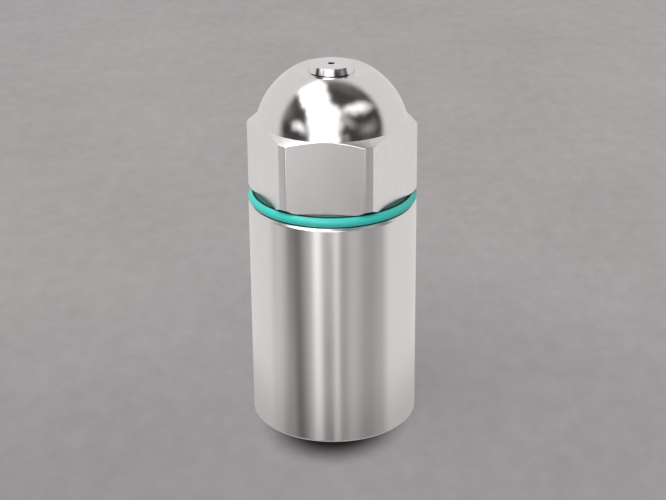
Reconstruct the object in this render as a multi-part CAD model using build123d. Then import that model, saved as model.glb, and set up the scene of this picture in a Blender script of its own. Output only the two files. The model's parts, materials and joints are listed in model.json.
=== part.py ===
from build123d import *
import os
from math import radians, sqrt, tan

# Oil burner nozzle on a holder with a built-in shut-off valve.
# Millimetres. The origin is the centre of the bottom face, and +Z runs along the
# nozzle's axis towards the orifice. Two flats of the hexagon face +Y and -Y.

# Outside
BAR_R = 9.0                 # the 18 mm bar that holder and head are turned from
FLAT_R = 8.0                # half of the 16 mm across flats
SLEEVE_TOP_Z = 25.0
SLEEVE_EDGE = 0.25          # broken edges of the holder
RING_GAP = 1.15             # what is left for the squashed seal ring
RING_MIDDLE_R = 8.14
RING_FLAT = 0.63            # width of its flattened top and bottom
HEAD_Z = SLEEVE_TOP_Z + RING_GAP
HEAD_UNDER_R = 8.65         # rim of the head's underside, inside a 45 degree chamfer
HEX_TOP_Z = 33.5            # where the corners end under the dome
CORNER_ANGLE = 30           # of the chamfer from the corners up to the dome
DOME_R = 8.19
DOME_CENTRE_Z = 32.24
DOME_BASE_R = 7.985
CROWN_Z = 39.45             # flat land on top of the dome
CROWN_DISH = 0.2            # the land falls this much towards the nose
NOSE_HOLE_R = 2.45
NOZZLE_TOP_Z = 40.0

# Thread between head and holder, 9/16-24
HEAD_THREAD_PITCH = 1.058
HEAD_THREAD_MAJOR_R = 7.144
HEAD_THREAD_MINOR_R = 6.495
HEAD_THREAD_START_Z = 18.7
HEAD_THREAD_TURNS = 5
HEAD_THREAD_SLACK = 0.04
SPIGOT_Z = 18.2
RELIEF_R = 6.4              # thread relief under the head
THREAD_LEAD = 0.3           # chamfer at the start of a thread
RIDGE_LAND = 0.1            # share of the pitch that a ridge's flat crest takes

# Inside of the head
FILTER_BORE_R = 5.2
FILTER_BORE_TOP_Z = 28.5
LOCK_BORE_R = 4.0           # M8, and the orifice disc's pocket above it
POCKET_TOP_Z = 37.55
NOSE_CONE_TOP_Z = 38.6

# Orifice disc
DISC_SLACK = 0.05
DISC_Z = 34.6
NOSE_TIP_R = 2.2
SPRAY_CONE_TOP_Z = 39.5
SPRAY_CONE_R = 3.0          # the cone is 90 degrees, so it is as tall as its radius
SPRAY_CONE_HALF_ANGLE = 45
ORIFICE_R = 0.15
ORIFICE_EXIT_R = 0.36
ORIFICE_EXIT_Z = 39.65      # the hole opens into a straight counterbore here

# Distributor and lock screw
DISTRIBUTOR_Z = 33.9
DISTRIBUTOR_R = 2.5
DISTRIBUTOR_TIP_R = 0.9
SWIRL_SLOTS = 4
SWIRL_SLOT_W = 0.35
SWIRL_SLOT_DEPTH = 0.4
SWIRL_SLOT_OFFSET = 0.55
LOCK_SCREW_Z = 30.6
LOCK_SCREW_PITCH = 1.0
LOCK_SCREW_DEPTH = 0.35
LOCK_SCREW_BORE_R = 1.6
DRIVER_SLOT_W = 1.2
DRIVER_SLOT_DEPTH = 1.2
OIL_GROOVE_W = 1.1
OIL_GROOVE_DEPTH = 0.8
OIL_GROOVE_LENGTH = 6.6

# Filter
FILTER_R = 4.3
FILTER_WALL = 1.2
FILTER_Z = 19.0
FILTER_TOP_Z = 27.6
FILTER_END_ROUND = 1.4
NECK_FLANGE_R = 5.0
NECK_TUBE_Z = 25.4
NECK_BORE_R = 1.6
NECK_TOP_Z = 30.3

# Holder
INLET_R = 4.283             # G 1/8, the radius inside the thread's crests
INLET_MOUTH_R = 5.0
INLET_DEPTH = 7.6
UNDERCUT_R = 4.9            # thread run-out, which also takes the screen's ring
WEB_Z = 8.6
WEB_TOP_Z = 9.5
WEB_PORT_R = 2.6
CHAMBER_R = 5.6
CHAMBER_TOP_Z = 17.9
MOUTH_R = 7.25

# Shut-off valve
SEAT_R = 5.5
SEAT_TOP_Z = 11.4
SEAT_PORT_R = 1.6
SEAT_LIP_R = 2.0
SEAT_LIP_Z = 11.9
SEAT_LIP_FLARE = 0.4
SEAT_RING_WIRE_R = 0.5
SEAT_RING_Z = 10.45
SEAL_DISC_R = 2.7
SEAL_DISC_THICK = 0.8
POPPET_R = 3.3
POPPET_RIM_DEPTH = 0.55     # how far the poppet's rim reaches down round its seal
POPPET_TOP_Z = 13.6
POPPET_EDGE = 0.2
POPPET_RIM_EDGE = 0.1
POPPET_BOSS_R = 1.35
POPPET_BOSS_Z = 14.2
STEM_R = 0.9
STEM_TOP_Z = 17.4
SCREW_R = 0.5
SCREW_HEAD_R = 0.95
SCREW_HEAD_THICK = 0.45
SCREW_SLOT_W = 0.3
SCREW_SLOT_DEPTH = 0.2
SCREW_TOP_Z = 13.6
SPRING_R = 1.85
SPRING_WIRE_R = 0.19
SPRING_TURNS = 3.75
GUIDE_Z = 16.5
GUIDE_TOP_Z = 17.1
GUIDE_R = 5.5
GUIDE_HOLES = 6
GUIDE_HOLE_R = 0.85
GUIDE_HOLE_PCD_R = 3.7
BUSH_R = 1.45
BUSH_BORE_R = 0.95
BUSH_FLANGE_R = 2.2
BUSH_FLANGE_THICK = 0.25
SHIM_THICK = 0.15
SHIM_INNER_R = 4.7
CIRCLIP_THICK = 0.5
CIRCLIP_OUTER_R = 6.0
CIRCLIP_INNER_R = 4.9
CIRCLIP_GAP = 3.0
CIRCLIP_LUG_R = 0.75
CIRCLIP_EYE_R = 0.3

# Inlet screen
SCREEN_Z = 8.3
SCREEN_R = 4.2
SCREEN_HOLE_R = 0.24
SCREEN_PITCH = 0.72
SCREEN_RINGS = 5
SNAP_WIRE_R = 0.3
SNAP_RING_R = 4.35
SNAP_RING_GAP = 2.4

TALL = 100.0                # longer than anything that is cut


def turned(*outline):
    """Solid of revolution from (radius, height) points."""
    points = [(r, 0, z) for r, z in outline]
    return revolve(make_face(Polyline(*points, close=True)), Axis.Z)


def rod(radius, low, high):
    return Pos(0, 0, (low + high) / 2) * Cylinder(radius, high - low)


def ring(inner, outer, low, high):
    return rod(outer, low, high) - rod(inner, low - 1, high + 1)


def thread_ridges(root_r, crest_r, pitch, start, turns):
    """Outline points of a V thread's ridges, from low to high."""
    points = [(root_r, start)]
    half_land = RIDGE_LAND * pitch / 2
    for turn in range(turns):
        crest_z = start + (turn + 0.5) * pitch
        points.append((crest_r, crest_z - half_land))
        points.append((crest_r, crest_z + half_land))
        points.append((root_r, start + (turn + 1) * pitch))
    return points


def spaced(shape, count):
    return [Rot(0, 0, 360 / count * i) * shape for i in range(count)]


def hexagon_prism():
    flats = RegularPolygon(FLAT_R, 6, major_radius=False)
    return Pos(0, 0, HEAD_Z) * extrude(flats, TALL)


def dome_radius_at(height):
    return sqrt(DOME_R**2 - (height - DOME_CENTRE_Z) ** 2)


def nozzle_head():
    corner_rise = (BAR_R - DOME_BASE_R) * tan(radians(CORNER_ANGLE))
    dome_base = (DOME_BASE_R, 0, HEX_TOP_Z + corner_rise)
    shoulder_z = (dome_base[2] + CROWN_Z) / 2
    spigot = thread_ridges(
        HEAD_THREAD_MINOR_R,
        HEAD_THREAD_MAJOR_R,
        HEAD_THREAD_PITCH,
        HEAD_THREAD_START_Z,
        HEAD_THREAD_TURNS,
    )
    lower = [
        (0, SPIGOT_Z),
        (HEAD_THREAD_MINOR_R - THREAD_LEAD, SPIGOT_Z),
        *spigot,
        (RELIEF_R, spigot[-1][1]),
        (RELIEF_R, HEAD_Z),
        (HEAD_UNDER_R, HEAD_Z),
        (BAR_R, HEAD_Z + BAR_R - HEAD_UNDER_R),
        (BAR_R, HEX_TOP_Z),
    ]
    side = Polyline(*[(r, 0, z) for r, z in lower], dome_base)
    shoulder = (dome_radius_at(shoulder_z), 0, shoulder_z)
    crown_edge = (dome_radius_at(CROWN_Z), 0, CROWN_Z)
    dome = ThreePointArc(dome_base, shoulder, crown_edge)
    crown = Polyline(
        crown_edge,
        (NOSE_HOLE_R, 0, CROWN_Z - CROWN_DISH),
        (0, 0, CROWN_Z - CROWN_DISH),
        (0, 0, SPIGOT_Z),
    )
    blank = revolve(make_face(side + dome + crown), Axis.Z)
    shavings = rod(BAR_R + 1, HEAD_Z, TALL) - hexagon_prism()
    inside = turned(
        (0, 0),
        (FILTER_BORE_R, 0),
        (FILTER_BORE_R, FILTER_BORE_TOP_Z),
        (LOCK_BORE_R, FILTER_BORE_TOP_Z),
        (LOCK_BORE_R, POCKET_TOP_Z),
        (NOSE_HOLE_R, NOSE_CONE_TOP_Z),
        (NOSE_HOLE_R, TALL),
        (0, TALL),
    )
    return blank - shavings - inside


def orifice_disc():
    nose_r = NOSE_HOLE_R - DISC_SLACK
    body_r = LOCK_BORE_R - DISC_SLACK
    blank = turned(
        (0, DISC_Z),
        (body_r, DISC_Z),
        (body_r, POCKET_TOP_Z - DISC_SLACK),
        (nose_r, NOSE_CONE_TOP_Z - DISC_SLACK),
        (nose_r, CROWN_Z - CROWN_DISH),
        (NOSE_TIP_R, NOZZLE_TOP_Z),
        (0, NOZZLE_TOP_Z),
    )
    spray_way = turned(
        (0, 0),
        (SPRAY_CONE_R, 0),
        (SPRAY_CONE_R, SPRAY_CONE_TOP_Z - SPRAY_CONE_R + ORIFICE_R),
        (ORIFICE_R, SPRAY_CONE_TOP_Z),
        (ORIFICE_R, ORIFICE_EXIT_Z),
        (ORIFICE_EXIT_R, ORIFICE_EXIT_Z),
        (ORIFICE_EXIT_R, TALL),
        (0, TALL),
    )
    return blank - spray_way


def swirl_distributor():
    cone_z = SPRAY_CONE_TOP_Z + ORIFICE_R - DISTRIBUTOR_R
    tip_z = SPRAY_CONE_TOP_Z + ORIFICE_R - DISTRIBUTOR_TIP_R
    plug = turned(
        (0, DISTRIBUTOR_Z),
        (DISTRIBUTOR_R, DISTRIBUTOR_Z),
        (DISTRIBUTOR_R, cone_z),
        (DISTRIBUTOR_TIP_R, tip_z),
        (0, tip_z),
    )
    slot_length = 2 * DISTRIBUTOR_R
    middle = Pos((DISTRIBUTOR_R + DISTRIBUTOR_TIP_R) / 2, SWIRL_SLOT_OFFSET, (cone_z + tip_z) / 2)
    slot = middle * Rot(0, SPRAY_CONE_HALF_ANGLE, 0) * Box(slot_length, SWIRL_SLOT_W, 2 * SWIRL_SLOT_DEPTH)
    return plug - spaced(slot, SWIRL_SLOTS)


def lock_screw():
    turns = int((DISTRIBUTOR_Z - LOCK_SCREW_Z) / LOCK_SCREW_PITCH)
    crest_r = LOCK_BORE_R - DISC_SLACK
    root_r = crest_r - LOCK_SCREW_DEPTH
    ridges = thread_ridges(root_r, crest_r, LOCK_SCREW_PITCH, LOCK_SCREW_Z, turns)
    plug = turned((0, LOCK_SCREW_Z), *ridges, (root_r, DISTRIBUTOR_Z), (0, DISTRIBUTOR_Z))
    bore = rod(LOCK_SCREW_BORE_R, LOCK_SCREW_Z - 1, DISTRIBUTOR_Z + 1)
    slot = Pos(0, 0, LOCK_SCREW_Z) * Box(TALL, DRIVER_SLOT_W, 2 * DRIVER_SLOT_DEPTH)
    groove = Box(OIL_GROOVE_LENGTH, OIL_GROOVE_W, 2 * OIL_GROOVE_DEPTH)
    top = Pos(0, 0, DISTRIBUTOR_Z)
    return plug - bore - slot - top * groove - top * Rot(0, 0, 90) * groove


def filter_neck():
    tube_r = FILTER_R - FILTER_WALL
    crest_r = LOCK_BORE_R - DISC_SLACK
    return turned(
        (NECK_BORE_R, NECK_TUBE_Z),
        (tube_r, NECK_TUBE_Z),
        (tube_r, FILTER_TOP_Z),
        (NECK_FLANGE_R, FILTER_TOP_Z),
        (NECK_FLANGE_R, FILTER_BORE_TOP_Z),
        (crest_r, FILTER_BORE_TOP_Z),
        (crest_r, NECK_TOP_Z - THREAD_LEAD),
        (crest_r - THREAD_LEAD, NECK_TOP_Z),
        (NECK_BORE_R, NECK_TOP_Z),
    )


def sintered_filter():
    outside = rod(FILTER_R, FILTER_Z, FILTER_TOP_Z)
    closed_end = outside.edges().sort_by(Axis.Z)[0]
    outside = fillet(closed_end, FILTER_END_ROUND)
    hollow = rod(FILTER_R - FILTER_WALL, FILTER_Z + FILTER_WALL, TALL)
    return outside - hollow


def seal_ring():
    """Seal ring of 1.5 mm cord, squashed between the holder and the head."""
    half = RING_GAP / 2
    low = SLEEVE_TOP_Z
    outer_r = RING_MIDDLE_R + RING_FLAT / 2
    inner_r = RING_MIDDLE_R - RING_FLAT / 2
    outer = ThreePointArc(
        (outer_r, 0, low),
        (outer_r + half, 0, low + half),
        (outer_r, 0, HEAD_Z),
    )
    inner = ThreePointArc(
        (inner_r, 0, HEAD_Z),
        (inner_r - half, 0, low + half),
        (inner_r, 0, low),
    )
    top = Line(outer @ 1, inner @ 0)
    bottom = Line(inner @ 1, outer @ 0)
    return revolve(make_face(outer + top + inner + bottom), Axis.Z)


def holder_sleeve():
    slack = HEAD_THREAD_SLACK
    ridges = thread_ridges(
        HEAD_THREAD_MINOR_R + 2 * slack,
        HEAD_THREAD_MAJOR_R + slack,
        HEAD_THREAD_PITCH,
        HEAD_THREAD_START_Z,
        HEAD_THREAD_TURNS,
    )
    bore_r = ridges[0][0]
    mouth_z = SLEEVE_TOP_Z - (MOUTH_R - bore_r)
    circlip_low = GUIDE_TOP_Z + SHIM_THICK
    return turned(
        (INLET_MOUTH_R, 0),
        (BAR_R - SLEEVE_EDGE, 0),
        (BAR_R, SLEEVE_EDGE),
        (BAR_R, SLEEVE_TOP_Z - SLEEVE_EDGE),
        (BAR_R - SLEEVE_EDGE, SLEEVE_TOP_Z),
        (MOUTH_R, SLEEVE_TOP_Z),
        (bore_r, mouth_z),
        *reversed(ridges),
        (bore_r, CHAMBER_TOP_Z),
        (CHAMBER_R, CHAMBER_TOP_Z),
        (CHAMBER_R, circlip_low + CIRCLIP_THICK),
        (CIRCLIP_OUTER_R, circlip_low + CIRCLIP_THICK),
        (CIRCLIP_OUTER_R, circlip_low),
        (CHAMBER_R, circlip_low),
        (CHAMBER_R, WEB_TOP_Z),
        (WEB_PORT_R, WEB_TOP_Z),
        (WEB_PORT_R, WEB_Z),
        (UNDERCUT_R, WEB_Z),
        (UNDERCUT_R, INLET_DEPTH),
        (INLET_R, INLET_DEPTH - (UNDERCUT_R - INLET_R)),
        (INLET_R, INLET_MOUTH_R - INLET_R),
    )


def valve_seat():
    groove_r = CHAMBER_R - 2 * SEAT_RING_WIRE_R
    blank = turned(
        (SEAT_PORT_R, WEB_TOP_Z),
        (SEAT_R, WEB_TOP_Z),
        (SEAT_R, SEAT_TOP_Z),
        (SEAT_LIP_R + SEAT_LIP_FLARE, SEAT_TOP_Z),
        (SEAT_LIP_R, SEAT_LIP_Z),
        (SEAT_PORT_R, SEAT_LIP_Z),
    )
    groove = ring(
        groove_r,
        CHAMBER_R,
        SEAT_RING_Z - SEAT_RING_WIRE_R,
        SEAT_RING_Z + SEAT_RING_WIRE_R,
    )
    return blank - groove


def seat_o_ring():
    centre_r = CHAMBER_R - SEAT_RING_WIRE_R
    return Pos(0, 0, SEAT_RING_Z) * Torus(centre_r, SEAT_RING_WIRE_R)


def poppet_seal():
    return ring(SCREW_R, SEAL_DISC_R, SEAT_LIP_Z, SEAT_LIP_Z + SEAL_DISC_THICK)


def poppet():
    seal_top = SEAT_LIP_Z + SEAL_DISC_THICK
    rim_z = seal_top - POPPET_RIM_DEPTH
    return turned(
        (SCREW_R, seal_top),
        (SEAL_DISC_R, seal_top),
        (SEAL_DISC_R, rim_z),
        (POPPET_R - POPPET_RIM_EDGE, rim_z),
        (POPPET_R, rim_z + POPPET_RIM_EDGE),
        (POPPET_R, POPPET_TOP_Z - POPPET_EDGE),
        (POPPET_R - POPPET_EDGE, POPPET_TOP_Z),
        (POPPET_BOSS_R, POPPET_TOP_Z),
        (POPPET_BOSS_R, POPPET_BOSS_Z),
        (STEM_R, POPPET_BOSS_Z),
        (STEM_R, STEM_TOP_Z - POPPET_EDGE),
        (STEM_R - POPPET_EDGE, STEM_TOP_Z),
        (0, STEM_TOP_Z),
        (0, SCREW_TOP_Z),
        (SCREW_R, SCREW_TOP_Z),
    )


def seal_screw():
    head_z = SEAT_LIP_Z - SCREW_HEAD_THICK
    head = rod(SCREW_HEAD_R, head_z, SEAT_LIP_Z)
    slot = Pos(0, 0, head_z) * Box(TALL, SCREW_SLOT_W, 2 * SCREW_SLOT_DEPTH)
    return head - slot + rod(SCREW_R, SEAT_LIP_Z, SCREW_TOP_Z)


def shutoff_spring():
    length = GUIDE_Z - POPPET_TOP_Z
    coil = Helix(length / SPRING_TURNS, length, SPRING_R)
    section = Plane(origin=coil @ 0, z_dir=coil % 0) * Circle(SPRING_WIRE_R)
    ground_ends = Pos(0, 0, length / 2) * Box(TALL, TALL, length)
    return Pos(0, 0, POPPET_TOP_Z) * (sweep(section, path=coil) & ground_ends)


def spring_guide():
    plate = ring(BUSH_R, GUIDE_R, GUIDE_Z, GUIDE_TOP_Z)
    hole = Pos(GUIDE_HOLE_PCD_R, 0, 0) * rod(GUIDE_HOLE_R, GUIDE_Z - 1, GUIDE_TOP_Z + 1)
    return plate - spaced(hole, GUIDE_HOLES)


def guide_bush():
    flange_top = GUIDE_TOP_Z + BUSH_FLANGE_THICK
    return turned(
        (BUSH_BORE_R, GUIDE_Z),
        (BUSH_R, GUIDE_Z),
        (BUSH_R, GUIDE_TOP_Z),
        (BUSH_FLANGE_R, GUIDE_TOP_Z),
        (BUSH_FLANGE_R, flange_top),
        (BUSH_BORE_R, flange_top),
    )


def preload_shim():
    return ring(SHIM_INNER_R, GUIDE_R, GUIDE_TOP_Z, GUIDE_TOP_Z + SHIM_THICK)


def retaining_ring():
    low = GUIDE_TOP_Z + SHIM_THICK
    high = low + CIRCLIP_THICK
    band = ring(CIRCLIP_INNER_R, CIRCLIP_OUTER_R, low, high)
    band -= Pos(CIRCLIP_OUTER_R, 0, low) * Box(CIRCLIP_OUTER_R, CIRCLIP_GAP, 4 * CIRCLIP_THICK)
    lug_x = CIRCLIP_INNER_R - CIRCLIP_LUG_R / 2
    for side in (-1, 1):
        place = Pos(lug_x, side * (CIRCLIP_GAP / 2 + CIRCLIP_LUG_R * 0.9), 0)
        band += place * rod(CIRCLIP_LUG_R, low, high)
        band -= place * rod(CIRCLIP_EYE_R, low - 1, high + 1)
    return band


def inlet_screen():
    disc = rod(SCREEN_R, SCREEN_Z, WEB_Z)
    hole = rod(SCREEN_HOLE_R, SCREEN_Z - 1, WEB_Z + 1)
    holes = [hole]
    for number in range(1, SCREEN_RINGS + 1):
        place = Pos(number * SCREEN_PITCH, 0, 0)
        holes += spaced(place * hole, 6 * number)
    return disc - holes


def screen_ring():
    wire = Pos(0, 0, SCREEN_Z - SNAP_WIRE_R) * Torus(SNAP_RING_R, SNAP_WIRE_R)
    return wire - Pos(0, SNAP_RING_R, SCREEN_Z) * Box(SNAP_RING_GAP, SNAP_RING_R, 2)


NODES = {
    "nozzle_head": nozzle_head,
    "orifice_disc": orifice_disc,
    "swirl_distributor": swirl_distributor,
    "lock_screw": lock_screw,
    "filter_neck": filter_neck,
    "sintered_filter": sintered_filter,
    "seal_ring": seal_ring,
    "holder_sleeve": holder_sleeve,
    "valve_seat": valve_seat,
    "seat_o_ring": seat_o_ring,
    "poppet": poppet,
    "poppet_seal": poppet_seal,
    "seal_screw": seal_screw,
    "shutoff_spring": shutoff_spring,
    "spring_guide": spring_guide,
    "guide_bush": guide_bush,
    "preload_shim": preload_shim,
    "retaining_ring": retaining_ring,
    "inlet_screen": inlet_screen,
    "screen_ring": screen_ring,
}

os.makedirs("parts", exist_ok=True)
for name, make in NODES.items():
    export_step(make(), f"parts/{name}.step")
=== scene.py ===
import json
from math import asin, cos, degrees, pi, radians, sin, sqrt, tan

import bmesh
import bpy
from mathutils import Matrix, Vector


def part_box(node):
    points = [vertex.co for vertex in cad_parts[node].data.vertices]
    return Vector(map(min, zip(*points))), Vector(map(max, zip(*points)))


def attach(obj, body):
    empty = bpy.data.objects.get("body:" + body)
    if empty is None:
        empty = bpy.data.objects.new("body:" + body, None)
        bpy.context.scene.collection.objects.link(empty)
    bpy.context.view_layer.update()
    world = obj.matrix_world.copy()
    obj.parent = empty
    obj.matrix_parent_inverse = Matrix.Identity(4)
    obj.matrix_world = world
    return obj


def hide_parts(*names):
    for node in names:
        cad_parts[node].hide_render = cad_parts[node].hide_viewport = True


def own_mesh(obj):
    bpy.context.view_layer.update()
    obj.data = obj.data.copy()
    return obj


# An oil burner nozzle on its holder, seen from a little above, on a grey board.
# Lengths are in millimetres, and MM turns them into metres. The few that are in metres say so.

MM = 0.001

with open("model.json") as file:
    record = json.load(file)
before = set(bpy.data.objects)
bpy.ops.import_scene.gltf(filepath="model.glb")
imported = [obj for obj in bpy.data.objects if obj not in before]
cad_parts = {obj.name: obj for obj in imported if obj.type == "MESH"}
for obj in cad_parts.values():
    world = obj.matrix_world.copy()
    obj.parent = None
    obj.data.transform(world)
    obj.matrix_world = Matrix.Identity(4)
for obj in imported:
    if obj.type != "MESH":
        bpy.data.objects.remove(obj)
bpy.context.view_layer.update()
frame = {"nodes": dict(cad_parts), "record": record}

# ---------------------------------------------------------------- sizes from the frame

sleeve_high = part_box("holder_sleeve")[1]
head_low, head_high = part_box("nozzle_head")
ring_low, ring_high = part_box("seal_ring")
disc_low, disc_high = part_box("orifice_disc")
spring_low, spring_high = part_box("shutoff_spring")

BAR_R = sleeve_high.x / MM
FLAT_R = head_high.y / MM
SLEEVE_TOP_Z = sleeve_high.z / MM
RING_R = ring_high.x / MM
RING_LOW_Z = ring_low.z / MM
HEAD_Z = ring_high.z / MM
SPIGOT_Z = head_low.z / MM
CROWN_Z = head_high.z / MM
DISC_Z = disc_low.z / MM
DISC_R = disc_high.x / MM
NOZZLE_TOP_Z = disc_high.z / MM

# ---------------------------------------------------------------- small mesh tools

ARC_SHARE = 0.45            # a corner's arc takes at most this share of the sides next to it
THREAD_LAND = 0.05          # half of a thread's flat, as a share of its pitch


def rounded(outline, steps=5):
    """(r, z, radius) corners of an outline, with each corner turned into an arc of steps + 1 points."""
    points = []
    last = len(outline) - 1
    for i, (r, z, radius) in enumerate(outline):
        here = Vector((r, z))
        if radius == 0 or i in (0, last):
            points.append(here)
            continue
        before = Vector(outline[i - 1][:2]) - here
        after = Vector(outline[i + 1][:2]) - here
        turn = pi - before.angle(after, pi)
        reach = radius * tan(turn / 2)
        reach = min(reach, before.length * ARC_SHARE, after.length * ARC_SHARE)
        start = here + before.normalized() * reach
        end = here + after.normalized() * reach
        for k in range(steps + 1):
            t = k / steps
            points.append((1 - t) ** 2 * start + 2 * t * (1 - t) * here + t * t * end)
    return points


def arc(centre_z, radius, start_z, end_z, steps):
    """Points on a sphere's outline between two heights, without the first one."""
    start = asin((start_z - centre_z) / radius)
    end = asin((end_z - centre_z) / radius)
    points = []
    for k in range(1, steps + 1):
        a = start + (end - start) * k / steps
        points.append((radius * cos(a), centre_z + radius * sin(a), 0))
    return points


def mesh_object(name, bm, sharp_angle=30):
    """A linked object of bm in metres, smooth except at edges sharper than sharp_angle."""
    bmesh.ops.recalc_face_normals(bm, faces=bm.faces)
    for face in bm.faces:
        face.smooth = True
    for edge in bm.edges:
        if len(edge.link_faces) == 2 and edge.calc_face_angle(0) > radians(sharp_angle):
            edge.smooth = False
    bmesh.ops.scale(bm, vec=(MM, MM, MM), verts=bm.verts)
    mesh = bpy.data.meshes.new(name)
    bm.to_mesh(mesh)
    bm.free()
    made = bpy.data.objects.new(name, mesh)
    bpy.context.scene.collection.objects.link(made)
    weigh = made.modifiers.new("even_normals", "WEIGHTED_NORMAL")
    weigh.keep_sharp = True
    weigh.weight = 100
    return made


def columns_to_mesh(name, angles, outline_at, sharp_angle=30):
    """A closed ring of faces: outline_at(angle) gives the closed (r, z) outline at each angle."""
    bm = bmesh.new()
    columns = []
    for angle in angles:
        column = [bm.verts.new((r * cos(angle), r * sin(angle), z)) for r, z in outline_at(angle)]
        columns.append(column)
    for i, column in enumerate(columns):
        after = columns[(i + 1) % len(columns)]
        for j in range(len(column)):
            k = (j + 1) % len(column)
            bm.faces.new((column[j], after[j], after[k], column[k]))
    return mesh_object(name, bm, sharp_angle)


def turned(name, points, segments, sharp_angle=30):
    """A closed (r, z) outline turned round the axis."""
    angles = [2 * pi * i / segments for i in range(segments)]
    return columns_to_mesh(name, angles, lambda angle: points, sharp_angle)


def thread(inner_r, outer_r, pitch, start, turns):
    """Outline corners of a V thread's turns, from low to high, on a shank or in a bore."""
    corners = [(inner_r, start, 0)]
    for turn in range(turns):
        middle = start + (turn + 0.5) * pitch
        corners.append((outer_r, middle - THREAD_LAND * pitch, 0))
        corners.append((outer_r, middle + THREAD_LAND * pitch, 0))
        corners.append((inner_r, start + (turn + 1) * pitch, 0))
    return corners


# ---------------------------------------------------------------- the head

HEX_TOP_Z = 33.5            # the chamfer on the hexagon's top starts here, at the bar's radius
CORNER_ANGLE = 30           # and rises at this angle
DOME_R = 8.19
DOME_CENTRE_Z = 32.24
DOME_BASE_R = 7.985
DOME_STEPS = 40
CROWN_DISH = 0.2            # how far the land on top sinks towards the nose
CROWN_EDGE = 0.02           # the dome's arc stops this far under the land's edge
UNDER_R = 8.65              # where the flat underside ends and its chamfer starts
RELIEF_R = 6.4
SPIGOT_END_R = 6.2
NOSE_HOLE_R = 2.45
NOSE_HOLE_LOW_Z = 38.6
SCREW_BORE_R = 4.0
SCREW_BORE_HIGH_Z = 37.55
FILTER_BORE_R = 5.2
FILTER_BORE_HIGH_Z = 28.5
JOINT_THREAD = dict(pitch=1.058, start=18.7, turns=5)
EDGE_BLEND = 0.02           # how far the flats and corners are blended into each other


def hex_radius(angle):
    """Distance from the axis to the head's side, with the corners cut by the bar and the edges softened."""
    sixth = pi / 3
    off = (angle + pi / 2 + sixth / 2) % sixth - sixth / 2
    flat = FLAT_R / cos(off)
    h = min(max(0.5 + 0.5 * (BAR_R - flat) / EDGE_BLEND, 0), 1)
    return BAR_R + (flat - BAR_R) * h - EDGE_BLEND * h * (1 - h)


def head_angles():
    """Angles round the head: even steps on the flats and fine ones at the edges."""
    flat_step = 2.6
    edge = degrees(asin(sqrt(BAR_R**2 - FLAT_R**2) / BAR_R))
    half = [flat_step * k for k in range(10)]
    half += [edge + step for step in (-1.1, -0.6, -0.35, -0.15, 0, 0.15, 0.35, 0.6)]
    half += [28.6, 30]
    half.sort()
    around = []
    for sixth in range(6):
        middle = 60 * sixth - 90
        around += [middle + a for a in half]
        around += [middle + 60 - a for a in reversed(half[1:-1])]
    return [radians(a) for a in around]


def head_outline(angle):
    """The head's outline at one angle: up its outside from the spigot, and down through its bores."""
    side_r = hex_radius(angle)
    under_r = min(UNDER_R, side_r - 0.03)
    rise = tan(radians(CORNER_ANGLE))
    dome_base_z = HEX_TOP_Z + (BAR_R - DOME_BASE_R) * rise
    crown_r = sqrt(DOME_R**2 - (CROWN_Z - DOME_CENTRE_Z) ** 2)
    spigot = thread(inner_r=6.495, outer_r=7.144, **JOINT_THREAD)
    corners = [
        (FILTER_BORE_R, SPIGOT_Z, 0),
        (SPIGOT_END_R, SPIGOT_Z, 0),
        *spigot,
        (RELIEF_R, spigot[-1][1], 0),
        (RELIEF_R, HEAD_Z, 0.1),
        (under_r, HEAD_Z, 0.05),
        (side_r, HEAD_Z + side_r - under_r, 0.15),
        (side_r, HEX_TOP_Z + (BAR_R - side_r) * rise, 0.12),
        (DOME_BASE_R, dome_base_z, 0),
        *arc(DOME_CENTRE_Z, DOME_R, dome_base_z, CROWN_Z - CROWN_EDGE, DOME_STEPS),
        (crown_r, CROWN_Z, 0.04),
        (NOSE_HOLE_R, CROWN_Z - CROWN_DISH, 0.01),
        (NOSE_HOLE_R, NOSE_HOLE_LOW_Z, 0),
        (SCREW_BORE_R, SCREW_BORE_HIGH_Z, 0),
        (SCREW_BORE_R, FILTER_BORE_HIGH_Z, 0),
        (FILTER_BORE_R, FILTER_BORE_HIGH_Z, 0),
    ]
    return rounded(corners)


def make_head():
    return columns_to_mesh("nozzle_head_turned", head_angles(), head_outline)


# ---------------------------------------------------------------- the orifice disc's nose

DISC_RIM_HIGH_Z = 37.5
RECESS_R = 3.0              # the cone under the disc that ends at the orifice
RECESS_Z = 36.65
NOSE_R = 2.44
NOSE_LOW_Z = 38.55
NOSE_TIP_R = 2.2
NOSE_FOOT_Z = CROWN_Z - CROWN_DISH + 0.06       # the nose narrows from a little above the land
ORIFICE_R = 0.15
ORIFICE_LOW_Z = 39.5
ORIFICE_EXIT_R = 0.36
ORIFICE_EXIT_Z = 39.65


def make_orifice_disc():
    outline = [
        (RECESS_R, DISC_Z, 0),
        (DISC_R, DISC_Z, 0.05),
        (DISC_R, DISC_RIM_HIGH_Z, 0.05),
        (NOSE_R, NOSE_LOW_Z, 0.05),
        (NOSE_R, NOSE_FOOT_Z, 0.05),
        (NOSE_TIP_R, NOZZLE_TOP_Z, 0.06),
        (ORIFICE_EXIT_R, NOZZLE_TOP_Z, 0.02),
        (ORIFICE_EXIT_R, ORIFICE_EXIT_Z, 0),
        (ORIFICE_R, ORIFICE_EXIT_Z, 0),
        (ORIFICE_R, ORIFICE_LOW_Z, 0),
        (RECESS_R, RECESS_Z, 0),
    ]
    return turned("orifice_disc_ground", rounded(outline), segments=96)


# ---------------------------------------------------------------- the seal ring

RING_TOP_LIP_R = 8.15       # the ring leaves the head's underside here
RING_FOOT_LIP_R = 8.35      # and the holder's end here
RING_INNER_LIP_R = 7.6
RING_INNER_BULGE = 0.35


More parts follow.
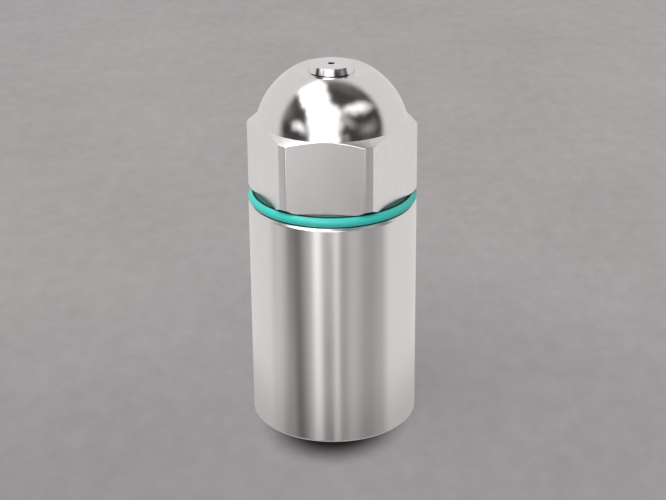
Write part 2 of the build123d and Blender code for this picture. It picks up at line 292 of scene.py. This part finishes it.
def make_seal_ring():
    """A cord pressed between two flat faces: it bulges outwards past the head's flats."""
    half = (HEAD_Z - RING_LOW_Z) / 2
    middle_z = RING_LOW_Z + half
    steps = 16
    points = []
    for k in range(2 * steps):
        a = pi * k / (2 * steps)
        lip_r = RING_TOP_LIP_R if a < pi / 2 else RING_FOOT_LIP_R
        points.append((lip_r + (RING_R - lip_r) * sin(a), middle_z + half * cos(a)))
    for k in range(steps + 1):
        a = pi * k / steps
        points.append((RING_INNER_LIP_R - RING_INNER_BULGE * sin(a), middle_z - half * cos(a)))
    return turned("seal_ring_squashed", points, segments=192, sharp_angle=60)


# ---------------------------------------------------------------- the holder's sleeve

SLEEVE_EDGE = 0.25          # the chamfers at both ends
JOINT_BORE_R = 6.575
JOINT_MOUTH_R = 7.25
JOINT_BORE_LOW_Z = 17.9
CHAMBER_R = 5.6
CLIP_GROOVE_R = 6.0
CLIP_GROOVE_LOW_Z = 17.25
CLIP_GROOVE_HIGH_Z = 17.75
WEB_LOW_Z = 8.6
WEB_HIGH_Z = 9.5
PORT_R = 2.6
UNDERCUT_R = 4.9
UNDERCUT_LOW_Z = 7.6
INLET_R = 4.283
INLET_ROOT_R = 4.83
INLET_PITCH = 0.907
INLET_TURNS = 6
INLET_LOW_Z = 1.0
INLET_LAND = 0.12           # half of the flat between two grooves
INLET_MOUTH_R = 5.0
INLET_MOUTH_Z = 0.72


def inlet_thread():
    """Outline corners of the inlet's thread, from low to high."""
    corners = []
    for turn in range(INLET_TURNS):
        low = INLET_LOW_Z + turn * INLET_PITCH
        corners.append((INLET_R, low, 0))
        corners.append((INLET_R, low + INLET_LAND, 0))
        corners.append((INLET_ROOT_R, low + INLET_PITCH * 0.5, 0.05))
        corners.append((INLET_R, low + INLET_PITCH - INLET_LAND, 0))
    return corners


def make_sleeve():
    outline = [
        (INLET_MOUTH_R, 0, 0),
        (BAR_R - SLEEVE_EDGE, 0, 0.12),
        (BAR_R, SLEEVE_EDGE, 0.12),
        (BAR_R, SLEEVE_TOP_Z - SLEEVE_EDGE, 0.12),
        (BAR_R - SLEEVE_EDGE, SLEEVE_TOP_Z, 0.12),
        (JOINT_MOUTH_R, SLEEVE_TOP_Z, 0),
        (JOINT_BORE_R, SLEEVE_TOP_Z - (JOINT_MOUTH_R - JOINT_BORE_R), 0),
        *reversed(thread(inner_r=JOINT_BORE_R, outer_r=7.184, **JOINT_THREAD)),
        (JOINT_BORE_R, JOINT_BORE_LOW_Z, 0),
        (CHAMBER_R, JOINT_BORE_LOW_Z, 0),
        (CHAMBER_R, CLIP_GROOVE_HIGH_Z, 0),
        (CLIP_GROOVE_R, CLIP_GROOVE_HIGH_Z, 0),
        (CLIP_GROOVE_R, CLIP_GROOVE_LOW_Z, 0),
        (CHAMBER_R, CLIP_GROOVE_LOW_Z, 0),
        (CHAMBER_R, WEB_HIGH_Z, 0),
        (PORT_R, WEB_HIGH_Z, 0),
        (PORT_R, WEB_LOW_Z, 0),
        (UNDERCUT_R, WEB_LOW_Z, 0),
        (UNDERCUT_R, UNDERCUT_LOW_Z, 0),
        *reversed(inlet_thread()),
        (INLET_R, INLET_MOUTH_Z, 0),
    ]
    return turned("holder_sleeve_turned", rounded(outline), segments=192)


# ---------------------------------------------------------------- the shut-off valve's spring

SPRING_WIRE_R = 0.19
SPRING_R = spring_high.x / MM - SPRING_WIRE_R
SPRING_TURNS = 4.5
SPRING_DEAD_TURNS = 0.8     # wound without a gap, at each end
SPRING_OPEN_TURNS = SPRING_TURNS - 2 * SPRING_DEAD_TURNS


def make_spring():
    """A compression spring with closed ends, drawn as a tube along its wire."""
    low = spring_low.z / MM
    high = spring_high.z / MM
    steps_per_turn = 32
    sides = 10
    dead_rise = 2 * SPRING_WIRE_R * SPRING_DEAD_TURNS
    open_rise = high - low - 2 * SPRING_WIRE_R - 2 * dead_rise
    steps = int(SPRING_TURNS * steps_per_turn)
    bm = bmesh.new()
    rows = []
    for k in range(steps + 1):
        turn = k / steps_per_turn
        open_turn = min(max(turn - SPRING_DEAD_TURNS, 0), SPRING_OPEN_TURNS)
        dead_turn = turn - open_turn
        rise = dead_turn * 2 * SPRING_WIRE_R + open_turn * open_rise / SPRING_OPEN_TURNS
        angle = 2 * pi * turn
        out = Vector((cos(angle), sin(angle), 0))
        row = []
        for side in range(sides):
            a = 2 * pi * side / sides
            spot = out * (SPRING_R + SPRING_WIRE_R * cos(a))
            spot.z = low + SPRING_WIRE_R * (1 + sin(a)) + rise
            row.append(bm.verts.new(spot))
        rows.append(row)
    for row, after in zip(rows, rows[1:]):
        for side in range(sides):
            k = (side + 1) % sides
            bm.faces.new((row[side], after[side], after[k], row[k]))
    bm.faces.new(rows[0])
    bm.faces.new(reversed(rows[-1]))
    return mesh_object("shutoff_spring_coil", bm, sharp_angle=60)


# ---------------------------------------------------------------- node trees


class Graph:
    """Short names for building a node tree."""

    def __init__(self, tree):
        self.tree = tree
        self.tree.nodes.clear()

    def node(self, kind, **settings):
        made = self.tree.nodes.new(kind)
        for key, value in settings.items():
            setattr(made, key, value)
        return made

    def link(self, source, target):
        self.tree.links.new(source, target)

    def feed(self, socket, value):
        """Link a socket to another one, or set it to a number, colour or vector."""
        if isinstance(value, bpy.types.NodeSocket):
            self.link(value, socket)
        else:
            socket.default_value = value

    def math(self, operation, *values):
        made = self.node("ShaderNodeMath", operation=operation)
        for socket, value in zip(made.inputs, values):
            self.feed(socket, value)
        return made.outputs[0]

    def vector_math(self, operation, *vectors):
        made = self.node("ShaderNodeVectorMath", operation=operation)
        for socket, vector in zip(made.inputs, vectors):
            self.feed(socket, vector)
        return made.outputs

    def ramp(self, value, low, high, at_low, at_high, smooth=False):
        made = self.node("ShaderNodeMapRange")
        made.interpolation_type = "SMOOTHSTEP" if smooth else "LINEAR"
        for socket, number in zip(made.inputs, (value, low, high, at_low, at_high)):
            self.feed(socket, number)
        return made.outputs[0]

    def below(self, value, low, high):
        """1 up to low and 0 from high on, both in millimetres."""
        return self.ramp(value, low * MM, high * MM, 1.0, 0.0, True)

    def mix_colour(self, factor, first, second):
        made = self.node("ShaderNodeMix", data_type="RGBA")
        self.feed(made.inputs["Factor"], factor)
        self.feed(made.inputs["A"], first)
        self.feed(made.inputs["B"], second)
        return made.outputs["Result"]

    def mix_shaders(self, factor, first, second):
        made = self.node("ShaderNodeMixShader")
        for socket, value in zip(made.inputs, (factor, first, second)):
            self.feed(socket, value)
        return made.outputs[0]

    def scaled_place(self, stretch):
        """The point's own coordinates, in metres, times stretch."""
        place = self.node("ShaderNodeTexCoord")
        scale = self.node("ShaderNodeMapping")
        scale.inputs["Scale"].default_value = stretch
        self.link(place.outputs["Object"], scale.inputs["Vector"])
        return scale.outputs[0]

    def noise(self, stretch, detail=4, roughness=0.55):
        """Noise over the object's own coordinates, in cycles per metre along each axis."""
        made = self.node("ShaderNodeTexNoise")
        made.inputs["Scale"].default_value = 1
        made.inputs["Detail"].default_value = detail
        made.inputs["Roughness"].default_value = roughness
        self.link(self.scaled_place(stretch), made.inputs["Vector"])
        return made.outputs["Fac"]

    def place(self):
        """The point's own x, y and z, in metres."""
        place = self.node("ShaderNodeTexCoord")
        split = self.node("ShaderNodeSeparateXYZ")
        self.link(place.outputs["Object"], split.inputs[0])
        return split.outputs

    def radius(self):
        """The point's distance from the nozzle's axis, in metres."""
        place = self.place()
        squares = self.math("ADD", self.math("POWER", place["X"], 2.0), self.math("POWER", place["Y"], 2.0))
        return self.math("SQRT", squares)

    def rings(self, per_metre, detail=5):
        """Noise that changes along the axis only, like the marks of a turning tool."""
        made = self.node("ShaderNodeTexNoise", noise_dimensions="1D")
        made.inputs["Scale"].default_value = per_metre
        made.inputs["Detail"].default_value = detail
        self.link(self.place()["Z"], made.inputs["W"])
        return made.outputs["Fac"]


class Surface(Graph):
    """A material with one Principled shader; constants are set on the shader's own sockets."""

    def __init__(self, name, **constants):
        self.material = bpy.data.materials.new(name)
        self.material.use_nodes = True
        super().__init__(self.material.node_tree)
        self.shader = self.node("ShaderNodeBsdfPrincipled")
        self.out = self.node("ShaderNodeOutputMaterial")
        self.show(self.shader.outputs[0])
        for key, value in constants.items():
            self.shader.inputs[key.replace("_", " ")].default_value = value

    def show(self, shader_socket):
        self.link(shader_socket, self.out.inputs["Surface"])

    def colour(self, tone, dark, light):
        """Base colour, from dark where tone is 0 to light where it is 1."""
        self.link(self.mix_colour(tone, (*dark, 1), (*light, 1)), self.shader.inputs["Base Color"])

    def roughness(self, pattern, low, high, at_low, at_high):
        self.link(self.ramp(pattern, low, high, at_low, at_high), self.shader.inputs["Roughness"])

    def bump(self, pattern, distance, strength):
        """Raise the surface by up to distance, in millimetres."""
        made = self.node("ShaderNodeBump")
        made.inputs["Strength"].default_value = strength
        made.inputs["Distance"].default_value = distance * MM
        self.link(pattern, made.inputs["Height"])
        self.link(made.outputs[0], self.shader.inputs["Normal"])

    def brush_round_axis(self):
        tangent = self.node("ShaderNodeTangent", direction_type="RADIAL", axis="Z")
        self.link(tangent.outputs[0], self.shader.inputs["Tangent"])


# ---------------------------------------------------------------- materials

FRONT_HALF = 4.2            # half the width of the flats that face the front and the back
FRONT_FADE = (4.3, 4.7)     # their painted light ends between these distances from the middle
RING_TOP_BAND = (0.3, 0.2)  # the ring's top side starts this far under the head
RING_SHADED_R = (8.27, 8.37)    # there, the ring is in the head's shade inside this radius
RING_SHADOW_LINE_R = (8.55, 8.67)     # and a black painted shadow line from there to here
RING_FOOT_SHADOW_BAND = (0.06, 0.14)   # and a black painted shadow up to this height over its foot


def dome_steel():
    """The dome: polished, with a trace of haze."""
    steel = Surface("polished_dome", Metallic=1.0)
    haze = steel.noise((700, 700, 700), 4)
    steel.colour(haze, (0.85, 0.815, 0.80), (0.875, 0.84, 0.825))
    steel.roughness(haze, 0.3, 0.7, 0.10, 0.14)
    steel.bump(haze, 0.02, 0.5)
    return steel.material


def brushed_steel():
    """The hexagon's flats and corners: finely grained, with painted light on the flats facing the front and
    the back, lighter on the left and darker on the right as seen from the front.
    """
    steel = Surface("brushed_flats", Metallic=1.0, Anisotropic=0.6)
    steel.brush_round_axis()
    grain = steel.noise((4500, 4500, 1500), 4, 0.6)
    cloud = steel.noise((300, 300, 120), 3)
    sideways = steel.place()["X"]
    off_middle = steel.math("ABSOLUTE", sideways)
    on_front = steel.ramp(off_middle, FRONT_FADE[0] * MM, FRONT_FADE[1] * MM, 1.0, 0.0)
    # painted light: lighter on the left of these flats and darker on their right
    across = steel.ramp(sideways, -FRONT_HALF * MM, FRONT_HALF * MM, 0.42, -0.38)
    painted_light_tilt = steel.math("MULTIPLY", across, on_front)
    tone = steel.math("ADD", painted_light_tilt, steel.ramp(grain, 0.3, 0.7, 0.36, 0.64))
    steel.colour(tone, (0.79, 0.755, 0.742), (0.985, 0.95, 0.945))
    steel.roughness(cloud, 0.35, 0.65, 0.23, 0.27)
    steel.bump(grain, 0.006, 0.6)
    return steel.material


def shade_black_steel():
    """Near-black turned steel for painted shade: on the head's underside, at the front of the nose's foot
    and in the orifice.
    """
    steel = Surface("painted_shade_black", Metallic=1.0)
    rings = steel.rings(9000)
    steel.colour(rings, (0.006, 0.006, 0.007), (0.018, 0.018, 0.02))
    steel.roughness(rings, 0.3, 0.7, 0.45, 0.6)
    steel.bump(rings, 0.004, 0.5)
    return steel.material


def turned_steel():
    """Satin steel, turned round the axis, so that reflections spread along it."""
    steel = Surface("turned_sleeve", Metallic=1.0, Anisotropic=0.8, Anisotropic_Rotation=0.25)
    steel.brush_round_axis()
    rings = steel.rings(11000)
    cloud = steel.noise((260, 260, 60), 3)
    steel.colour(rings, (0.855, 0.82, 0.806), (0.90, 0.863, 0.848))
    steel.roughness(cloud, 0.35, 0.65, 0.21, 0.25)
    steel.bump(rings, 0.003, 0.4)
    return steel.material


def ground_steel():
    """The nozzle's nose: ground, with fine marks round the axis."""
    steel = Surface("ground_disc", Metallic=1.0)
    grain = steel.noise((3000, 3000, 3000), 4)
    steel.colour(grain, (0.87, 0.84, 0.845), (0.91, 0.88, 0.885))
    steel.roughness(grain, 0.3, 0.7, 0.08, 0.12)
    steel.bump(steel.rings(9000), 0.002, 0.3)
    return steel.material


def teal_rubber():
    """Moulded rubber with painted shade: darker teal on its top inside the head's edge, and black shadow
    lines round its top and along its foot.
    """
    seal = Surface("teal_seal", Specular_IOR_Level=0.5)
    cloud = seal.noise((400, 400, 400), 2)
    fresh = seal.mix_colour(cloud, (0.040, 0.62, 0.545, 1), (0.050, 0.66, 0.585, 1))
    height = seal.place()["Z"]
    radius = seal.radius()
    top_from, top_to = ((HEAD_Z - depth) * MM for depth in RING_TOP_BAND)
    top_side = seal.ramp(height, top_from, top_to, 0.0, 1.0)
    in_shade = seal.below(radius, *RING_SHADED_R)
    to_line = seal.below(radius, *RING_SHADOW_LINE_R)
    # painted shade: a darker teal top inside the head's edge, and black shadow lines round the top and
    # along the foot
    upper = seal.math("MULTIPLY", seal.math("SUBTRACT", to_line, in_shade), top_side)
    shaded = seal.math("MULTIPLY", in_shade, top_side)
    lower = seal.below(height, *(RING_LOW_Z + rise for rise in RING_FOOT_SHADOW_BAND))
    painted_shadow_lines = seal.math("MAXIMUM", upper, lower)
    rubber = seal.mix_colour(shaded, fresh, (0.006, 0.09, 0.08, 1))
    seal.link(seal.mix_colour(painted_shadow_lines, rubber, (0.002, 0.012, 0.011, 1)), seal.shader.inputs["Base Color"])
    smooth = seal.ramp(cloud, 0.3, 0.7, 0.32, 0.42)
    seal.roughness(painted_shadow_lines, 0.0, 1.0, smooth, 0.9)
    seal.bump(seal.noise((5000, 5000, 5000), 3), 0.001, 0.3)
    return seal.material


def plain_material(name, dark, light, roughness, metallic=1.0, scale=3000):
    """An even material for the pieces inside, with a fine grain of scale cycles per metre."""
    plain = Surface(name, Metallic=metallic)
    grain = plain.noise((scale, scale, scale), 5)
    plain.colour(grain, dark, light)
    plain.roughness(grain, 0.3, 0.7, roughness * 0.8, roughness * 1.2)
    plain.bump(grain, 0.01, 0.3)
    return plain.material


# ---------------------------------------------------------------- dressing the pieces

DOME_FROM_Z = 34.08
UNDERSIDE_TO_Z = HEAD_Z + 1
FACING_DOWN = -0.3
SHADE_BAND_LOW = 0.02             # the painted shade band at the nose's foot ends this far under NOSE_FOOT_Z
SHADE_BAND_FROM = 1.5             # and is on the front only, from this far off the axis


def dress(piece, finishes, body="holder", node=None):
    """Give a piece its materials and its body, and hide the CAD node that it stands for."""
    piece.data.materials.clear()
    for finish in finishes:
        piece.data.materials.append(finish)
    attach(piece, body)
    if node:
        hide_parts(node)


def give_faces(piece, finish_number, chosen):
    """Set the material number of the faces for which chosen(centre, normal) is true, in millimetres."""
    for face in piece.data.polygons:
        if chosen(face.center / MM, face.normal):
            face.material_index = finish_number


# painted shade: near-black steel put where shade falls
SHADE_BLACK = shade_black_steel()

head = make_head()
dress(head, (brushed_steel(), dome_steel(), SHADE_BLACK), node="nozzle_head")
give_faces(head, 1, lambda centre, normal: centre.z > DOME_FROM_Z)
# painted shade: the head's down-facing underside and chamfer over the ring are near-black
give_faces(head, 2, lambda centre, normal: centre.z < UNDERSIDE_TO_Z and normal.z < FACING_DOWN)

nose = make_orifice_disc()
dress(nose, (ground_steel(), SHADE_BLACK), node="orifice_disc")
# painted shade: a near-black band at the front of the nose's foot, and a black orifice
give_faces(nose, 1, lambda centre, normal: centre.z < NOSE_FOOT_Z - SHADE_BAND_LOW and centre.y < -SHADE_BAND_FROM)
give_faces(nose, 1, lambda centre, normal: centre.xy.length < ORIFICE_EXIT_R)

dress(make_sleeve(), (turned_steel(),), node="holder_sleeve")
dress(make_seal_ring(), (teal_rubber(),), node="seal_ring")

FINISHES = {
    "hardened_steel": plain_material("hardened_steel", (0.55, 0.54, 0.53), (0.68, 0.67, 0.66), 0.2),
    "turned_stainless": plain_material("stainless_small", (0.58, 0.57, 0.56), (0.70, 0.69, 0.68), 0.28),
    "brass": plain_material("turned_brass", (0.62, 0.42, 0.16), (0.78, 0.58, 0.26), 0.25),
    "sintered_bronze": plain_material(
        "sintered_bronze", (0.22, 0.13, 0.06), (0.55, 0.36, 0.18), 0.55, scale=5000
    ),
    "black_rubber": plain_material(
        "black_rubber", (0.012, 0.012, 0.012), (0.03, 0.03, 0.03), 0.5, metallic=0.0
    ),
    "spring_steel": plain_material("spring_steel", (0.30, 0.30, 0.31), (0.46, 0.46, 0.47), 0.3),
    "screen_steel": plain_material("screen_steel", (0.50, 0.50, 0.50), (0.66, 0.66, 0.66), 0.3),
    "white_ptfe": plain_material(
        "white_ptfe", (0.80, 0.80, 0.78), (0.90, 0.90, 0.88), 0.45, metallic=0.0
    ),
}

spring = make_spring()
dress(spring, (FINISHES["spring_steel"],), node="shutoff_spring")
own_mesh(spring)

node_slots = {row["node"]: row["material_slot"] for row in frame["record"]["subparts"]}
for node, piece in frame["nodes"].items():
    if piece.hide_render:
        continue
    piece.data.materials.clear()
    piece.data.materials.append(FINISHES[node_slots[node]])

# ---------------------------------------------------------------- the camera's place

CAMERA_AZIMUTH = radians(5.05)
CAMERA_DISTANCE = 0.175     # metres from the nozzle's axis, along the floor
CAMERA_HEIGHT = 0.0938      # metres
CAMERA_PITCH = radians(23.18)
CAMERA_ROLL = radians(0.52)
CAMERA_LENS_MM = 94.69
CAMERA_SENSOR_MM = 36
CAMERA_SIDE = Vector((sin(CAMERA_AZIMUTH), -cos(CAMERA_AZIMUTH), 0))
CAMERA_RIGHT = Vector((cos(CAMERA_AZIMUTH), sin(CAMERA_AZIMUTH), 0))

# ---------------------------------------------------------------- the board

FLOOR_HALF = 2              # metres
SHADOW_AHEAD = 4.5          # the contact shadow's centre is this far in front of the axis
SHADOW_DARK_R = 4.4
SHADOW_END_R = 10.1
SHADOW_NARROWING = 1.2      # it is this many times shorter sideways
REFLECTED_SHADOW = 0.32     # how much the shadow darkens what the steel mirrors, at the sleeve
REFLECTED_SHADOW_R = 26.0   # and how far from the axis that ends
NEAR_AHEAD = 40.0           # painted shade: the board is a little darker round this point in front
NEAR_END = 30.0
FAR_START = 100.0
FLOOR_ALBEDO = 0.77         # of the light that falls on the board
FLOOR_GLOW = 0.75           # share of the board's light that no shadow takes away
NEAR_BOARD = (0.312, 0.291, 0.296, 1), (0.380, 0.356, 0.361, 1)
FAR_BOARD_DARK = (0.355, 0.342, 0.350, 1), (0.372, 0.346, 0.340, 1)
FAR_BOARD_LIGHT = (0.440, 0.424, 0.432, 1), (0.457, 0.426, 0.420, 1)
SHADOW_COLOUR = (0.008, 0.008, 0.008, 1)


def board_colour(board):
    """A mottled grey, with painted shade a little darker just in front of the nozzle, and its painted
    contact shadow.
    """

    def distance_from(centre, narrowing=1.0):
        spot = board.scaled_place((narrowing, 1, 1))
        return board.vector_math("DISTANCE", spot, centre)["Value"]

    from_shadow = distance_from(CAMERA_SIDE * SHADOW_AHEAD * MM, SHADOW_NARROWING)
    shadow = board.below(from_shadow, SHADOW_DARK_R, SHADOW_END_R)
    cloud = board.noise((34, 26, 34), 5, 0.6)
    speckle = board.noise((420, 260, 420), 5, 0.7)
    tint = board.noise((14, 9, 14), 3)
    clouded = board.ramp(cloud, 0.25, 0.75, -0.1, 0.6)
    tone = board.math("ADD", clouded, board.ramp(speckle, 0.25, 0.75, -0.1, 0.6))
    near = board.mix_colour(tone, *NEAR_BOARD)
    far_dark = board.mix_colour(tint, *FAR_BOARD_DARK)
    far_light = board.mix_colour(tint, *FAR_BOARD_LIGHT)
    far = board.mix_colour(tone, far_dark, far_light)
    # painted shade: darker round a point in front of the nozzle
    from_near = distance_from(CAMERA_SIDE * NEAR_AHEAD * MM)
    away = board.ramp(from_near, NEAR_END * MM, FAR_START * MM, 0.0, 1.0, True)
    return board.mix_colour(shadow, board.mix_colour(away, near, far), SHADOW_COLOUR)


def make_floor():
    """A grey board. The steel mirrors the studio's light below the horizon, and of the board its shadow."""
    bm = bmesh.new()
    bmesh.ops.create_grid(bm, x_segments=1, y_segments=1, size=FLOOR_HALF)
    mesh = bpy.data.meshes.new("floor")
    bm.to_mesh(mesh)
    bm.free()
    floor = bpy.data.objects.new("floor", mesh)
    bpy.context.scene.collection.objects.link(floor)
    board = Surface("grey_board", Roughness=0.9)
    mesh.materials.append(board.material)

    shaded = board_colour(board)
    board.link(board.mix_colour(1 - FLOOR_ALBEDO, shaded, (0, 0, 0, 1)), board.shader.inputs["Base Color"])
    glow = board.node("ShaderNodeEmission")
    board.link(shaded, glow.inputs["Color"])
    seen = board.mix_shaders(FLOOR_GLOW, board.shader.outputs[0], glow.outputs[0])

    from_axis = board.vector_math("DISTANCE", board.scaled_place((1, 1, 1)), (0, 0, 0))["Value"]
    reflected = board.ramp(from_axis, BAR_R * MM, REFLECTED_SHADOW_R * MM, REFLECTED_SHADOW, 0.0, True)
    clear = board.node("ShaderNodeBsdfTransparent")
    black = board.node("ShaderNodeBsdfDiffuse")
    black.inputs["Color"].default_value = (0.02, 0.02, 0.02, 1)
    mirrored = board.mix_shaders(reflected, clear.outputs[0], black.outputs[0])
    ray = board.node("ShaderNodeLightPath")
    board.show(board.mix_shaders(ray.outputs["Is Glossy Ray"], seen, mirrored))


# ---------------------------------------------------------------- the studio's light

COVE_LIGHT = 0.72           # behind the nozzle and at its sides
FRONT_LOW_LIGHT = 0.42      # in front, below the horizon, before the lamps are added
FRONT_HIGH_LIGHT = 0.05     # and above it
LIGHT_COLOUR = (1.0, 0.99, 0.99, 1)
WAVER = 0.13                # how far the lamps' outlines waver, as a share of the sphere's radius
WAVER_SCALE = 2.8


class Studio(Graph):
    """The world's light. Angles are in degrees, and azimuth 0 is the side that the camera is on."""

    def __init__(self, tree):
        super().__init__(tree)
        self.looking = self.node("ShaderNodeTexCoord").outputs["Generated"]
        self.wavering = self.waver()
        self.front = self.along(CAMERA_SIDE, self.looking)
        self.height = self.along((0, 0, 1), self.looking)
        azimuth = self.in_degrees("ARCTAN2", self.along(CAMERA_RIGHT, self.looking), self.front)
        self.elevation = self.in_degrees("ARCSINE", self.height)
        self.gathered = self.math("MULTIPLY", azimuth, self.ramp(self.elevation, -31, -24, 1.16, 0.96))

    def waver(self):
        """The direction looked in, pushed a little to and fro."""
        drift = self.node("ShaderNodeTexNoise")
        drift.inputs["Scale"].default_value = WAVER_SCALE
        drift.inputs["Detail"].default_value = 3
        self.link(self.looking, drift.inputs["Vector"])
        size = Vector((WAVER, WAVER, WAVER))
        shift = self.vector_math("MULTIPLY_ADD", drift.outputs["Color"], 2 * size, -size)
        return self.vector_math("ADD", self.looking, shift[0])[0]

    def along(self, direction, vector):
        return self.vector_math("DOT_PRODUCT", vector, direction)["Value"]

    def in_degrees(self, operation, *values):
        return self.math("MULTIPLY", self.math(operation, *values), 180 / pi)

    def fade(self, value, middle, soft):
        return self.ramp(value, middle - soft / 2, middle + soft / 2, 1.0, 0.0, True)

    def lamp_angles(self, azimuth, elevation, roll):
        """How far the direction looked in is from a lamp's middle, sideways and upwards on the lamp."""
        a, e, turn = radians(azimuth), radians(elevation), radians(roll)
        level = CAMERA_SIDE * cos(a) + CAMERA_RIGHT * sin(a)
        level_side = CAMERA_RIGHT * cos(a) - CAMERA_SIDE * sin(a)
        centre = level * cos(e) + Vector((0, 0, sin(e)))
        level_up = Vector((0, 0, cos(e))) - level * sin(e)
        side = level_side * cos(turn) + level_up * sin(turn)
        up = level_up * cos(turn) - level_side * sin(turn)
        ahead = self.along(centre, self.wavering)
        return [self.in_degrees("ARCTAN2", self.along(axis, self.wavering), ahead) for axis in (side, up)]

    def panel(self, azimuth, elevation, roll, half_width, half_height, soft, strength):
        """A flat soft box, whose edges fade over soft degrees."""
        across, upward = self.lamp_angles(azimuth, elevation, roll)
        in_width = self.fade(self.math("ABSOLUTE", across), half_width, soft)
        in_height = self.fade(self.math("ABSOLUTE", upward), half_height, soft)
        return self.math("MULTIPLY", self.math("MULTIPLY", in_width, in_height), strength)

    def glow(self, azimuth, elevation, roll, half_width, half_height, strength):
        """A round patch of light that fades to nothing at its rim."""
        across, upward = self.lamp_angles(azimuth, elevation, roll)
        width_share = self.math("DIVIDE", across, half_width)
        height_share = self.math("DIVIDE", upward, half_height)
        squares = [self.math("POWER", share, 2.0) for share in (width_share, height_share)]
        from_middle = self.math("SQRT", self.math("ADD", *squares))
        return self.math("MULTIPLY", self.fade(from_middle, 0.5, 1.0), strength)

    def strip(self, azimuth, half_width, soft, strength, top=0, bottom=-70, bottom_soft=10):
        """A nearly upright strip below the horizon, that the sleeve and the flats mirror."""
        off = self.math("ABSOLUTE", self.math("SUBTRACT", self.gathered, azimuth))
        sides = self.fade(off, half_width, soft)
        over_bottom = self.math("SUBTRACT", 1.0, self.fade(self.elevation, bottom, bottom_soft))
        ends = self.math("MULTIPLY", self.fade(self.elevation, top, 8), over_bottom)
        return self.math("MULTIPLY", self.math("MULTIPLY", sides, ends), strength)


def studio_world():
    """A light grey cove behind, soft boxes overhead and in front, and dark gaps between them."""
    world = bpy.data.worlds.new("studio")
    bpy.context.scene.world = world
    world.use_nodes = True
    studio = Studio(world.node_tree)
    light = studio.ramp(studio.elevation, -12, 8, FRONT_LOW_LIGHT, FRONT_HIGH_LIGHT, True)
    lamps = [
        studio.panel(-76, 66, -6, 43, 15, 14, 2.4),
        studio.panel(-12, 26, 11, 23, 34, 12, 1.3),
        studio.panel(-38, 50, -40, 28, 9, 12, 1.4),
        studio.panel(-12, 7, 0, 22, 9, 10, 1.1),
        studio.glow(54, 48, -14, 38, 12, 1.5),
        studio.glow(24, 36, -30, 26, 12, 0.40),
        studio.glow(-56, 22, 0, 16, 12, 1.1),
        studio.glow(-43, 20, 0, 18, 12, 0.40),
        studio.glow(-92, 28, 0, 26, 20, 0.16),
        studio.glow(58, 17, 0, 24, 14, 0.26),
        studio.glow(22, 11, 0, 9, 7, 0.25),
        studio.glow(150, 74, 0, 50, 24, 0.12),
    ]
    strips = [
        studio.strip(-21, 5, 5, 0.79, bottom=-25),
        studio.strip(-8, 7.5, 5, -0.38, top=-24),
        studio.strip(4.5, 3, 3.5, 0.37, bottom=-28, bottom_soft=14),
        studio.strip(12, 3, 4, -0.17),
        studio.strip(20, 3, 4, -0.12, top=-27),
        studio.strip(29, 7, 8, 0.12),
        studio.strip(-53, 11, 12, -0.32),
        studio.strip(-69, 6, 7, 0.18),
        studio.strip(-84, 4, 7, -0.28),
        studio.strip(56, 12, 14, -0.08),
        studio.strip(76, 6, 10, 0.14),
    ]
    for lamp in lamps:
        light = studio.math("ADD", light, lamp)
    level_part = studio.math("MULTIPLY", studio.front, cos(CAMERA_PITCH))
    raised_part = studio.math("MULTIPLY", studio.math("MAXIMUM", studio.height, 0.0), sin(CAMERA_PITCH))
    in_front = studio.ramp(studio.math("ADD", level_part, raised_part), 0.03, 0.28, 0.0, 1.0, True)
    shade = studio.ramp(in_front, 0.0, 1.0, COVE_LIGHT, light)
    for strip in strips:
        shade = studio.math("ADD", shade, strip)
    background = studio.node("ShaderNodeBackground")
    studio.link(shade, background.inputs["Strength"])
    background.inputs["Color"].default_value = LIGHT_COLOUR
    out = studio.node("ShaderNodeOutputWorld")
    studio.link(background.outputs[0], out.inputs["Surface"])


# ---------------------------------------------------------------- the camera


def make_camera():
    level = -CAMERA_SIDE
    up = level * sin(CAMERA_PITCH) + Vector((0, 0, cos(CAMERA_PITCH)))
    ahead = level * cos(CAMERA_PITCH) - Vector((0, 0, sin(CAMERA_PITCH)))
    rolled_side = CAMERA_RIGHT * cos(CAMERA_ROLL) - up * sin(CAMERA_ROLL)
    rolled_up = CAMERA_RIGHT * sin(CAMERA_ROLL) + up * cos(CAMERA_ROLL)
    data = bpy.data.cameras.new("camera")
    data.lens = CAMERA_LENS_MM
    data.sensor_width = CAMERA_SENSOR_MM
    data.clip_start = 5 * MM
    camera = bpy.data.objects.new("camera", data)
    bpy.context.scene.collection.objects.link(camera)
    axes = Matrix((rolled_side, rolled_up, -ahead)).transposed()
    place = Vector((0, 0, CAMERA_HEIGHT)) - level * CAMERA_DISTANCE
    camera.matrix_world = Matrix.Translation(place) @ axes.to_4x4()
    bpy.context.scene.camera = camera


make_floor()
studio_world()
make_camera()
bpy.context.scene.view_settings.view_transform = "Standard"
